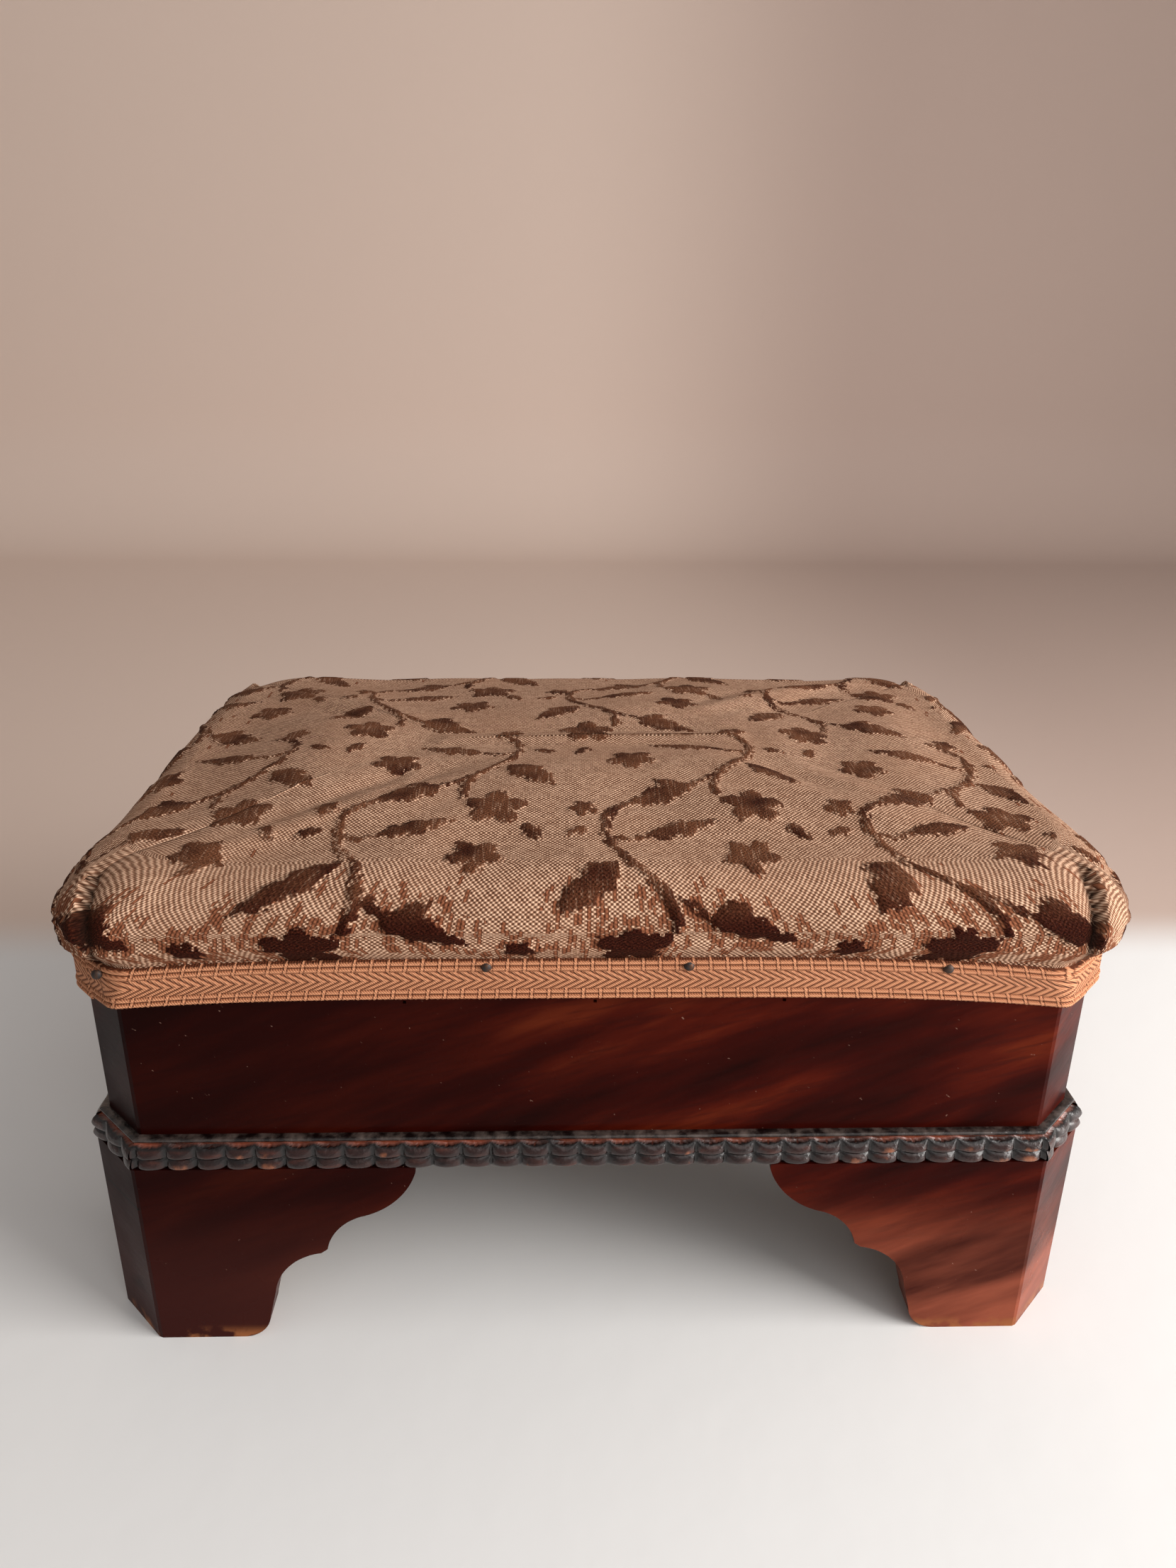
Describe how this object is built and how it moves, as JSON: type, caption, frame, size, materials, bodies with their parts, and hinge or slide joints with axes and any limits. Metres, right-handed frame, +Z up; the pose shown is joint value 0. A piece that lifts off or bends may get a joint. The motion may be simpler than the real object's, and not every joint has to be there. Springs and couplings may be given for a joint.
{
  "type": "upholstered footstool",
  "caption": "Low box footstool with canted corners on scrolled bracket feet, a carved bead moulding and a stuffed woven top edged with braid.",
  "frame": {"origin": "on the floor under the middle of the box", "axes": "+X to the right along the front, +Y to the back, +Z up"},
  "size_m": [0.3452, 0.2312, 0.184],
  "materials": {
    "mahogany": "old dark polish, glossy, worn at the edges",
    "cracked_mahogany": "old dark polish with one crack across the grain",
    "carved_mahogany": "old dark polish, dusty in the hollows and bare on the worn beads",
    "pine": "bare softwood, darkened by age",
    "webbing": "coarse woven jute",
    "hessian": "open plain weave jute",
    "stuffing": "loose brown fibre",
    "wadding": "soft cotton",
    "cover_cloth": "woven ground with cut pile flowers, worn on top",
    "gimp": "woven braid with corded edges",
    "tack_iron": "blued iron, dull"
  },
  "bodies": {
    "root": {"front_rail": "mahogany", "back_rail": "mahogany", "left_rail": "mahogany", "right_rail": "mahogany", "front_right_stile": "mahogany", "back_right_stile": "mahogany", "back_left_stile": "mahogany", "front_left_stile": "mahogany", "front_right_canted_foot": "mahogany", "back_right_canted_foot": "mahogany", "back_left_canted_foot": "mahogany", "front_left_canted_foot": "cracked_mahogany", "front_bracket_left": "mahogany", "front_bracket_right": "mahogany", "back_bracket_left": "mahogany", "back_bracket_right": "mahogany", "left_bracket_front": "mahogany", "left_bracket_back": "mahogany", "right_bracket_front": "mahogany", "right_bracket_back": "mahogany", "front_moulding": "carved_mahogany", "front_right_moulding": "carved_mahogany", "right_moulding": "carved_mahogany", "back_right_moulding": "carved_mahogany", "back_moulding": "carved_mahogany", "back_left_moulding": "carved_mahogany", "left_moulding": "carved_mahogany", "front_left_moulding": "carved_mahogany", "front_right_corner_block": "pine", "back_right_corner_block": "pine", "back_left_corner_block": "pine", "front_left_corner_block": "pine", "front_right_foot_block": "pine", "back_right_foot_block": "pine", "back_left_foot_block": "pine", "front_left_foot_block": "pine", "webbing_lengthwise": "webbing", "webbing_crosswise": "webbing", "webbing_tacks": "tack_iron", "hessian": "hessian", "hessian_tacks": "tack_iron", "stuffing": "stuffing", "wadding": "wadding", "cover": "cover_cloth", "cover_tacks": "tack_iron", "gimp_braid": "gimp", "gimp_pins": "tack_iron"}
  },
  "joints": []
}
